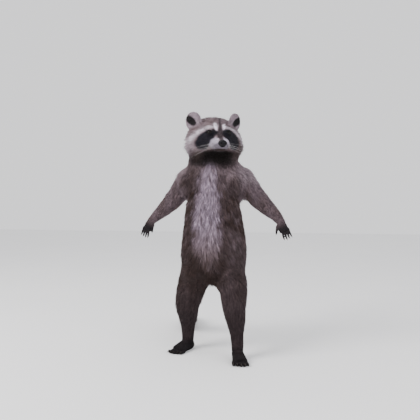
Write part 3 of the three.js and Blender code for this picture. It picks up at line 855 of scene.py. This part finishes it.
def coat_shading():
    """A node group: a marking, with painted shade at its roots, varied by strand, pale bands and dark tips.
    """
    group = bpy.data.node_groups.new("coat_shading", "ShaderNodeTree")
    for name in ("Root Shade", "Contrast", "Band"):
        group.interface.new_socket(name, in_out="INPUT", socket_type="NodeSocketFloat")
    group.interface.new_socket("Colour", in_out="OUTPUT", socket_type="NodeSocketColor")
    nodes, link = group.nodes, group.links.new
    inputs, outputs = nodes.new("NodeGroupInput"), nodes.new("NodeGroupOutput")
    marking, growth = nodes.new("ShaderNodeAttribute"), nodes.new("ShaderNodeAttribute")
    marking.attribute_name = "marking"
    growth.attribute_name = "growth"
    parts = nodes.new("ShaderNodeSeparateColor")
    link(growth.outputs["Color"], parts.inputs["Color"])

    def number(operation, first, second, third=None):
        """What comes out of a sum on sockets or plain numbers."""
        node = nodes.new("ShaderNodeMath")
        node.operation = operation
        for socket, value in zip(node.inputs, (first, second, third)):
            if isinstance(value, (int, float)):
                socket.default_value = value
            elif value is not None:
                link(value, socket)
        return node.outputs[0]

    strand, along, grizzle = parts.outputs[0], parts.outputs[1], parts.outputs[2]
    lit = number("MULTIPLY_ADD", number("SUBTRACT", strand, 0.5), inputs.outputs["Contrast"], 1)
    root = nodes.new("ShaderNodeMapRange")
    root.interpolation_type = "SMOOTHSTEP"
    root.inputs["From Max"].default_value = 0.45
    link(along, root.inputs["Value"])
    link(inputs.outputs["Root Shade"], root.inputs["To Min"])
    # Grizzled hair has a pale band two thirds of the way along, and a dark tip beyond it.
    pale = nodes.new("ShaderNodeValToRGB")
    ramp = pale.color_ramp
    ramp.elements[0].position = 0.35
    ramp.elements[0].color = (0.5, 0.5, 0.5, 1)
    ramp.elements[1].position = 1
    ramp.elements[1].color = (0.2, 0.2, 0.2, 1)
    crest = ramp.elements.new(0.66)
    crest.color = (0.86, 0.86, 0.86, 1)
    link(along, pale.inputs["Fac"])
    swing = number("MULTIPLY", number("SUBTRACT", pale.outputs["Color"], 0.5), inputs.outputs["Band"])
    banded = number("MULTIPLY_ADD", swing, grizzle, 1)
    total = number("MULTIPLY", number("MULTIPLY", lit, root.outputs["Result"]), banded)
    shade = nodes.new("ShaderNodeVectorMath")
    shade.operation = "SCALE"
    link(marking.outputs["Color"], shade.inputs[0])
    link(total, shade.inputs["Scale"])
    link(shade.outputs["Vector"], outputs.inputs["Colour"])
    return group


coat_group = coat_shading()


def coat_material(name, root_shade, contrast, band, roughness):
    """Hair: the coat's shading on a soft, slightly glossy surface."""
    material, tree, shader = new_material(name, roughness, 0.15)
    shading = tree.nodes.new("ShaderNodeGroup")
    shading.node_tree = coat_group
    shading.inputs["Root Shade"].default_value = root_shade
    shading.inputs["Contrast"].default_value = contrast
    shading.inputs["Band"].default_value = band
    tree.links.new(shading.outputs["Colour"], shader.inputs["Base Color"])
    return material


skin = mesh_object("skin", points, faces)
found = survey(points)
colour, grizzle = paint(points, found)
eye_room = np.min([np.linalg.norm(points - eye_frame(side)[0], axis=1) for side in (LEFT, RIGHT)], 0)
bare = 1 - rise(eye_room, 9.5 * MM, 11 * MM)
colour = colour + (linear(12, 10, 12) - colour) * bare[:, None]
growth_attributes(skin, colour, 0.4 + 0.2 * ripple(points, 0.004, 9), np.full(len(points), 0.3), 0 * grizzle)
underfur = coat_material("underfur", 0.75, 0.8, 0, 0.75)
tree = underfur.node_tree
grain = tree.nodes.new("ShaderNodeTexNoise")
grain.inputs["Scale"].default_value = 900
grain.inputs["Detail"].default_value = 3
relief = tree.nodes.new("ShaderNodeBump")
relief.inputs["Strength"].default_value = 0.35
relief.inputs["Distance"].default_value = 0.0006
where = tree.nodes.new("ShaderNodeTexCoord")
tree.links.new(where.outputs["Object"], grain.inputs["Vector"])
tree.links.new(grain.outputs["Fac"], relief.inputs["Height"])
tree.links.new(relief.outputs["Normal"], tree.nodes["Principled BSDF"].inputs["Normal"])
skin.data.materials.append(underfur)
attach(skin, "root")
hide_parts(*flesh)

# ------------------------------------------------------------------------------------------- coat on the head
# Short, close hair on the muzzle and round the eyes, longer over the crown and the cheeks, where it stands
# out in a ruff. Every lock is a closed solid, a flat blade with a ridge, rooted in the skin and lying back
# from the nose.
skin_corners = points[faces]
skin_ways = unit(relaxed(ways, edges_of(faces), 3, 0.5))[faces]
skin_sides = skin_corners[:, 1:] - skin_corners[:, :1]
skin_areas = np.linalg.norm(np.cross(skin_sides[:, 0], skin_sides[:, 1]), axis=1) / 2
skin_middles = skin_corners.mean(1)
face_survey = survey(skin_middles)
TUFT_PATCH = 0.003  # a lock's share of the map's width
CLUMP = 6.0
OPENING_KEPT = 1.16  # no lock grows within this much of the almond between the lids
ROOT_SUNK = 0.5
LEAST_RISE = 0.8
MOST_SHIFT = 3.0
SHOWN = 0.55  # the place along a lock whose marking it takes
LOCK_STEPS = np.array([0.0, 0.48, 1.0])
LOCK_WIDTHS = np.array([0.7, 1.0])
LOCK_FACES = [(0, 2, 1), (0, 1, 4), (0, 4, 3), (1, 2, 5), (1, 5, 4), (2, 0, 3), (2, 3, 5)]
LOCK_FACES += [(3, 4, 6), (4, 5, 6), (5, 3, 6)]
LOCK_CORNERS = 7


def coat(name, parts, keep, spacing, material, seed):
    """A coat piece. Roots are scattered evenly over the skin's faces that belong to the parts and pass
    keep, spacing times the wanted distance apart. From each a lock runs along the lie of the hair, rising
    quickly at first and then levelling off at the coat's depth: rings of three points whose width swells
    and then narrows to a tip. Locks in one clump draw together at their tips."""
    chance = np.random.default_rng(seed)
    wanted = np.isin(face_survey["most"], [PARTS.index(part) for part in parts]) & keep(skin_middles)
    chosen = np.flatnonzero(wanted)
    apart = spacing * (0.78 * MM + 0.037 * face_survey["hair"][chosen])
    number = np.floor(skin_areas[chosen] / apart**2 + chance.random(len(chosen))).astype(int)
    picked = np.repeat(chosen, number)
    share = chance.random((len(picked), 2))
    folded = share.sum(1) > 1
    share[folded] = 1 - share[folded]
    shares = np.column_stack([1 - share.sum(1), share])[:, :, None]
    root = (skin_corners[picked] * shares).sum(1)
    normal = unit((skin_ways[picked] * shares).sum(1))

    # The eyes' openings stay clear, and the hair is shortest round their lids.
    room = np.full(len(root), 9.0)
    for side in (LEFT, RIGHT):
        _, _, opening, near = seen_from_eye(root, side)
        room[near] = opening[near] - OPENING_KEPT
    clear = room > 0
    root, normal, room = root[clear], normal[clear], room[clear]
    found = survey(root)

    # Neighbouring locks gather in clumps, which share a colour where the hair is long.
    uneven = np.stack([ripple(root, 0.02, seed + wave) for wave in (3, 4, 5)], 1)
    cell = np.floor(root / (CLUMP * MM) + 0.35 * uneven)
    _, clump = np.unique(cell.astype(int), axis=0, return_inverse=True)
    clump = clump.ravel()
    members = np.bincount(clump)

    def clump_mean(values):
        """The mean of the locks' values over each one's clump."""
        return np.stack([np.bincount(clump, values[:, axis]) / members for axis in range(3)], 1)[clump]

    middle = clump_mean(root)
    clumped = rise(found["hair"], 9 * MM, 18 * MM)
    edge = np.clip(np.linalg.norm(root - middle, axis=1) / (0.5 * CLUMP * MM), 0, 1.4) * clumped

    wander = ripple(root, 0.022, seed + 1) * 0.22 + ripple(root, 0.009, seed + 2) * 0.12
    lie = unit(found["lie"] - normal * (found["lie"] * normal).sum(1)[:, None])
    beside = np.cross(normal, lie)
    turn = wander + chance.normal(0, 0.1, len(root))
    lie, beside = (lie * np.cos(turn)[:, None] + beside * np.sin(turn)[:, None],
                   beside * np.cos(turn)[:, None] - lie * np.sin(turn)[:, None])
    long = np.minimum(found["hair"], (1.2 + 4.5 * room) * MM) * chance.uniform(0.75, 1.15, len(root))
    long = long * (0.72 + 0.28 * rise(found["apart"], 0.05, 0.4))
    high = np.maximum(found["stand"], LEAST_RISE * MM) * chance.uniform(0.76, 1.12, len(root))
    high = high * (1.03 - 0.26 * edge)
    wide = (0.34 * MM + 0.029 * found["hair"]) * chance.uniform(0.75, 1.25, len(root))
    sway = chance.normal(0, 0.07, len(root))

    tip = root + lie * long[:, None] + normal * high[:, None]
    # A lock takes the marking that lies under the part of it that shows.
    shown = root + (middle - root) * 0.8 * clumped[:, None] + SHOWN * lie * long[:, None]
    colour, grizzle = paint(shown, found)

    drawn = 0.5 * rise(found["hair"], 5 * MM, 14 * MM)[:, None]
    shift = np.clip(clump_mean(tip) - tip, -MOST_SHIFT * MM, MOST_SHIFT * MM) * drawn
    shift -= lie * (shift * lie).sum(1)[:, None] * 0.7
    clump_light = chance.normal(0, 1, len(members))[clump]

    along = LOCK_STEPS[None, :, None]
    climb = 1 - (1 - along) ** 1.7
    line = root[:, None] - normal[:, None] * (ROOT_SUNK * MM) + lie[:, None] * long[:, None, None] * along
    line = line + normal[:, None] * high[:, None, None] * climb + shift[:, None] * along**1.5
    line = line + beside[:, None] * (long * sway)[:, None, None] * along**2
    half = (wide[:, None] * LOCK_WIDTHS[None])[..., None] / 2
    body, point = line[:, :-1], line[:, -1]
    left = body - beside[:, None] * half
    right = body + beside[:, None] * half
    ridge = body + normal[:, None] * half * 0.9
    locks = np.concatenate([np.stack([left, right, ridge], 2).reshape(len(root), -1, 3), point[:, None]], 1)
    locks = locks.reshape(-1, 3)
    locks[:, 2] = np.maximum(locks[:, 2], 0.2 * MM)
    triangles = (np.arange(len(root))[:, None, None] * LOCK_CORNERS + np.array(LOCK_FACES)).reshape(-1, 3)

    mesh = bpy.data.meshes.new(name)
    mesh.vertices.add(len(locks))
    mesh.vertices.foreach_set("co", locks.ravel())
    mesh.loops.add(len(triangles) * 3)
    mesh.loops.foreach_set("vertex_index", triangles.ravel().astype(np.int32))
    mesh.polygons.add(len(triangles))
    mesh.polygons.foreach_set("loop_start", np.arange(0, len(triangles) * 3, 3, dtype=np.int32))
    mesh.update(calc_edges=True)
    mesh.validate()
    mesh.shade_smooth()
    piece = bpy.data.objects.new(name, mesh)
    bpy.context.collection.objects.link(piece)

    # Each lock's patch of the map lies at its root's place along and round its part.
    rank = np.searchsorted(np.sort([PARTS.index(part) for part in parts]), found["most"])
    rank = np.clip(rank, 0, len(parts) - 1)
    down = (rank + np.clip(found["along"], 0, 1)) / len(parts)
    spot = np.stack([found["angle"] / (2 * math.pi) + 0.5, down], 1)
    spot = 0.002 + spot * (0.996 - TUFT_PATCH)
    side_step = np.array([0, 1, 0.5, 0, 1, 0.5, 0.5])
    long_step = np.append(np.repeat(LOCK_STEPS[:-1], 3), 1.0)
    patch = spot[:, None] + TUFT_PATCH * np.stack([side_step, long_step], 1)[None]
    chart = mesh.uv_layers.new(name="OFBake")
    chart.data.foreach_set("uv", patch.reshape(-1, 2)[triangles.ravel()].ravel())

    # Each lock's strand value: a random tone of its own and of its clump, and painted shade darkening the
    # locks at a clump's edge.
    light = np.clip(0.6 + 0.17 * chance.normal(size=len(root)) + 0.15 * clump_light - 0.24 * edge, 0, 1)
    colour, light, grizzle = (np.repeat(value, LOCK_CORNERS, 0) for value in (colour, light, grizzle))
    growth_attributes(piece, colour, light, np.tile(long_step, len(root)), grizzle)
    mesh.materials.append(material)
    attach(piece, "root")


def facing_front(points):
    """Whether each point is on the front of the head, ahead of the cheeks."""
    return seen_from_head(points)[:, 1] > 20


def facing_back(points):
    """Whether each point is on the cheeks, the crown or the nape."""
    return seen_from_head(points)[:, 1] <= 20


def anywhere(points):
    """Every point."""
    return np.ones(len(points), bool)


face_hair = coat_material("face_hair", 0.55, 0.9, 0.7, 0.6)
coat("coat_face", ["head"], facing_front, 0.88, face_hair, 11)
coat("coat_crown_and_cheeks", ["head"], facing_back, 0.95, face_hair, 12)
coat("coat_ears", ["ear_left", "ear_right"], anywhere, 0.85, face_hair, 13)


# ------------------------------------------------------------------------------------------ coat on the trunk
# Long guard hair over the chest, belly and back. It parts from the middle of the belly, down and outwards,
# and is paler there than on the grizzled back.
def on_front(points):
    """Whether each point is on the front half of the trunk."""
    return points[:, 1] < STAND[1] - 2 * MM


def on_back(points):
    """Whether each point is on the back half of the trunk."""
    return points[:, 1] >= STAND[1] - 2 * MM


belly_hair = coat_material("belly_hair", 0.52, 0.85, 0.7, 0.6)
back_hair = coat_material("back_hair", 0.5, 0.9, 0.85, 0.6)
coat("coat_belly", ["trunk"], on_front, 1.0, belly_hair, 21)
coat("coat_back", ["trunk"], on_back, 1.0, back_hair, 22)

# ------------------------------------------------------------------------------------------- coat on the arms
# The hair shortens from the shoulder to the wrist, and is close and dark on the hands. It lies down along
# the arm and hangs a little.
for number, name in enumerate(SIDES):
    coat(f"coat_arm_{name}", [f"arm_{name}"], anywhere, 1.05, back_hair, 31 + number)

# ------------------------------------------------------------------------------------------- coat on the legs
# The hair is full on the thighs, short on the shins, and close and dark on the feet, where it lies towards
# the toes.
leg_hair = coat_material("leg_hair", 0.5, 0.85, 0.65, 0.58)
for number, name in enumerate(SIDES):
    parts = [f"leg_{name}", f"foot_{name}"]
    coat(f"coat_leg_{name}", parts, anywhere, 1.17, leg_hair, 41 + number)

# ------------------------------------------------------------------------------------------- coat on the tail
# Bushy hair with dark rings, lying back along the tail to a dark tip. The rings are in the hair's colour,
# and not in the tail's shape.
tail_hair = coat_material("tail_hair", 0.45, 1.0, 0.6, 0.6)
coat("coat_tail", ["tail"], anywhere, 1.0, tail_hair, 51)

# ------------------------------------------------------------------------------------------------------- eyes
# Wet, dark brown balls with a black pupil and a clear, slightly bulging front. Each sits in its socket
# behind the skin's lids.
PUPIL = math.radians(20)
IRIS = math.radians(38)
CORNEA_BULGE = 0.55


def turned_surface(centre, pole, radii, around, rows):
    """Rings about a pole, whose radius is given at each angle from it: points, faces and those angles."""
    first = unit(np.cross(pole, UP + 0.01))
    second = np.cross(pole, first)
    fall = np.linspace(0, math.pi, rows + 1)[1:-1]
    turn = np.arange(around) * 2 * math.pi / around
    spin = np.cos(turn)[:, None] * first + np.sin(turn)[:, None] * second
    ring = np.cos(fall)[:, None, None] * pole + np.sin(fall)[:, None, None] * spin[None]
    poles = [pole * radii(np.array([0.0]))[0], -pole * radii(np.array([math.pi]))[0]]
    points = centre + np.concatenate([(radii(fall)[:, None, None] * ring).reshape(-1, 3), poles])
    return points, ball_faces(around, rows), np.concatenate([np.repeat(fall, around), [0, math.pi]])


def eye_reach(fall):
    """How far the eyeball reaches at each angle from the pupil's middle: the front bulges by the cornea."""
    return MM * (EYE_RADIUS + CORNEA_BULGE * (1 - rise(fall, 0.2, IRIS * 1.2)))


eye_look, tree, shader = new_material("wet_eye", 0.08, 0.12)
angle = tree.nodes.new("ShaderNodeAttribute")
angle.attribute_name = "from_pupil"
rings_of_eye = tree.nodes.new("ShaderNodeValToRGB")
ramp = rings_of_eye.color_ramp
ramp.elements[0].position = PUPIL / math.pi
ramp.elements[0].color = (0.001, 0.001, 0.001, 1)
ramp.elements[1].position = IRIS / math.pi * 1.15
ramp.elements[1].color = (0.004, 0.003, 0.003, 1)
iris_inner = ramp.elements.new(PUPIL / math.pi * 1.15)
iris_inner.color = (0.006, 0.0035, 0.0022, 1)
iris_outer = ramp.elements.new(IRIS / math.pi * 0.95)
iris_outer.color = (0.004, 0.0022, 0.0015, 1)
tree.links.new(angle.outputs["Fac"], rings_of_eye.inputs["Fac"])
tree.links.new(rings_of_eye.outputs["Color"], shader.inputs["Base Color"])

for name, side in SIDES.items():
    centre, gaze, _, _ = eye_frame(side)
    eyeball, faces, from_pole = turned_surface(centre, gaze, eye_reach, around=40, rows=28)
    eye = mesh_object(f"eyeball_{name}", eyeball, faces)
    attribute = eye.data.attributes.new("from_pupil", "FLOAT", "POINT")
    attribute.data.foreach_set("value", from_pole / math.pi)
    eye.data.materials.append(eye_look)
    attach(eye, "root")
    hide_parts(f"eye_{name}")

# ------------------------------------------------------------------------------------------------------- nose
# A bare pad of damp, pebbled leather, set into the end of the muzzle, with a nostril curling out on each
# side and a groove down its middle.
NOSE = np.array([10.2, 9.0, 8.7])
NOSE_SPOT = np.array([0, 108, -25])


def nose_pad(around=96, rows=64):
    """A ball stretched to the nose's half-sizes, flatter on top and narrower below, with its nostrils
    pressed in: each point's depth is a sum of smooth dents at the nostrils and along the middle groove."""
    forward = np.array([0.0, 1.0, 0.0])
    unit_ball, faces, _ = turned_surface(np.zeros(3), forward, np.ones_like, around, rows)
    across, ahead, up = unit_ball.T
    narrow = 1 - 0.22 * rise(-up, 0, 1)
    shape = unit_ball * NOSE * np.stack([narrow, np.ones_like(up), 1 - 0.08 * rise(up, 0, 1)], 1)
    dent = np.zeros(len(up))
    for side in (LEFT, RIGHT):
        gap = np.hypot((across - side * 0.46) / 0.2, (up + 0.02 - 0.25 * (np.abs(across) - 0.46)) / 0.26)
        curl = np.hypot((across - side * 0.72) / 0.22, (up + 0.2) / 0.11)
        dent += np.maximum(2.6 * (1 - rise(gap, 0.3, 1.1)), 1.7 * (1 - rise(curl, 0.2, 1.1))) * (ahead > 0)
    groove = 0.7 * (1 - rise(np.abs(across), 0.01, 0.08)) * rise(-up, 0.0, 0.3) * (ahead > 0)
    inward = unit(shape) * (dent + groove)[:, None]
    return placed_on_head(NOSE_SPOT + shape - inward), faces


nose = mesh_object("nose_pad", *nose_pad())
nose_look, tree, shader = new_material("nose_leather_damp", 0.24, 0.1)
where = tree.nodes.new("ShaderNodeTexCoord")
pebbles = tree.nodes.new("ShaderNodeTexVoronoi")
pebbles.inputs["Scale"].default_value = 1500
relief = tree.nodes.new("ShaderNodeBump")
relief.inputs["Strength"].default_value = 0.5
relief.inputs["Distance"].default_value = 0.0003
relief.invert = True
hue = tree.nodes.new("ShaderNodeValToRGB")
hue.color_ramp.elements[0].color = (0.004, 0.004, 0.005, 1)
hue.color_ramp.elements[1].color = (0.010, 0.009, 0.011, 1)
tree.links.new(where.outputs["Object"], pebbles.inputs["Vector"])
tree.links.new(pebbles.outputs["Distance"], relief.inputs["Height"])
tree.links.new(pebbles.outputs["Distance"], hue.inputs["Fac"])
tree.links.new(hue.outputs["Color"], shader.inputs["Base Color"])
tree.links.new(relief.outputs["Normal"], shader.inputs["Normal"])
nose.data.materials.append(nose_look)
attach(nose, "root")
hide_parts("nose")

# ------------------------------------------------------------------------------------------------------ claws
# Dark horn, one to each finger and toe, curved down to a point. Each grows from inside the tip of its
# digit, and is a little taller than it is wide.
CLAW_RINGS = 9
CLAW_AROUND = 10
CLAW_THICK = {"hand": 1.15, "foot": 1.5}
CLAW_ROOT = 2.6
CLAW_ARCH = 0.9
CLAW_WIDTH = 0.72  # against its height


def claw(node, hand, thick):
    """A cone bent along an arc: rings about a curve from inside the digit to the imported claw's tip, taller
    than wide and shrinking to the point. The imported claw's nearest and farthest points say where it
    runs."""
    points = np.array([corner.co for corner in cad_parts[node].data.vertices])
    points = np.unique(points.round(7), axis=0)
    away = np.linalg.norm(points - hand, axis=1)
    tip = points[away.argmax()]
    far_from_tip = np.linalg.norm(points - tip, axis=1)
    base = points[far_from_tip > far_from_tip.max() * 0.8].mean(0)
    way = unit(tip - base)
    start = base - way * CLAW_ROOT * MM
    across = unit(np.cross(way, UP))
    top = np.cross(across, way)
    share = np.linspace(0, 1, CLAW_RINGS)[:-1]
    line = start + share[:, None] * (tip - start) + (CLAW_ARCH * MM * np.sin(math.pi * share))[:, None] * top
    size = (thick * MM * (1 - share**1.6))[:, None, None]
    turn = np.arange(CLAW_AROUND) * 2 * math.pi / CLAW_AROUND
    spin = CLAW_WIDTH * np.cos(turn)[:, None] * across + np.sin(turn)[:, None] * top
    rings = line[:, None] + size * spin[None]
    points = np.vstack([rings.reshape(-1, 3), [start, tip]])
    return points, turned_over(ball_faces(CLAW_AROUND, CLAW_RINGS))


horn, tree, shader = new_material("claw_horn_dark", 0.38, 0.25)
mottled(tree, shader, 1200, (0.35, (0.008, 0.006, 0.005)), (0.7, (0.036, 0.027, 0.022)))

for name in SIDES:
    for limb in ("hand", "foot"):
        nodes = [f"claw_{limb}_{name}_{digit}" for digit in range(1, 6)]
        all_points, all_faces, start = [], [], 0
        for node in nodes:
            claw_points, claw_faces = claw(node, middle_of(f"{limb}_{name}"), CLAW_THICK[limb])
            all_points.append(claw_points)
            all_faces += [[corner + start for corner in face] for face in claw_faces]
            start += len(claw_points)
        claws = mesh_object(f"claws_{limb}_{name}", np.vstack(all_points), all_faces)
        claws.data.materials.append(horn)
        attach(claws, "root")
        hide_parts(*nodes)

# --------------------------------------------------------------------------------------------------- whiskers
# Stiff pale hairs in rows on each side of the muzzle, rooted in its skin and tapering as they droop out and
# back. Each is a thin tube, closed at both ends.
WHISKER_ROOTS = [(13.5, 98, -24), (15, 93, -27), (16, 88, -24), (16.5, 92, -31)]
WHISKER_ROOTS += [(15, 97, -30), (17.5, 85, -29), (18, 82, -25), (14.5, 98, -33)]
WHISKER_THICK = 0.14


def whiskers(steps=9, around=5):
    """Tapering tubes: each leaves its root outwards, and falls by the square of the way along it."""
    chance = np.random.default_rng(61)
    root = np.vstack([np.array(WHISKER_ROOTS) * [side, 1, 1] for side in (LEFT, RIGHT)])
    side = np.sign(root[:, 0])
    forward = 0.25 - 0.5 * chance.random(len(root))
    way = unit(np.stack([side, forward, chance.normal(-0.12, 0.1, len(root))], 1))
    long = chance.uniform(38, 60, len(root))
    share = np.linspace(0, 1, steps)
    line = root[:, None] - 2 * way[:, None] + way[:, None] * (long[:, None] * share)[..., None]
    line = line + np.array([0, -0.16, -0.13]) * (long[:, None] * share**2)[..., None]
    thick = WHISKER_THICK * (1 - 0.85 * share)
    across = unit(np.cross(way, UP))
    top = np.cross(across, way)
    turn = np.arange(around) * 2 * math.pi / around
    spin = np.cos(turn)[:, None] * across[:, None] + np.sin(turn)[:, None] * top[:, None]
    rings = line[:, :, None] + thick[None, :, None, None] * spin[:, None]
    faces = []
    for first in range(0, len(root) * steps * around, steps * around):
        tip = first + (steps - 1) * around
        faces += turned_over(ring_bands(around, steps, first))
        faces += [list(range(first, first + around))[::-1], list(range(tip, tip + around))]
    return placed_on_head(rings.reshape(-1, 3)), faces


whisker_piece = mesh_object("whiskers", *whiskers())
bristle, tree, shader = new_material("whisker_bristle", 0.4, 0.5)
mottled(tree, shader, 60, (0, (0.3, 0.28, 0.29)), (1, (0.62, 0.6, 0.6)))
whisker_piece.data.materials.append(bristle)
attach(whisker_piece, "root")
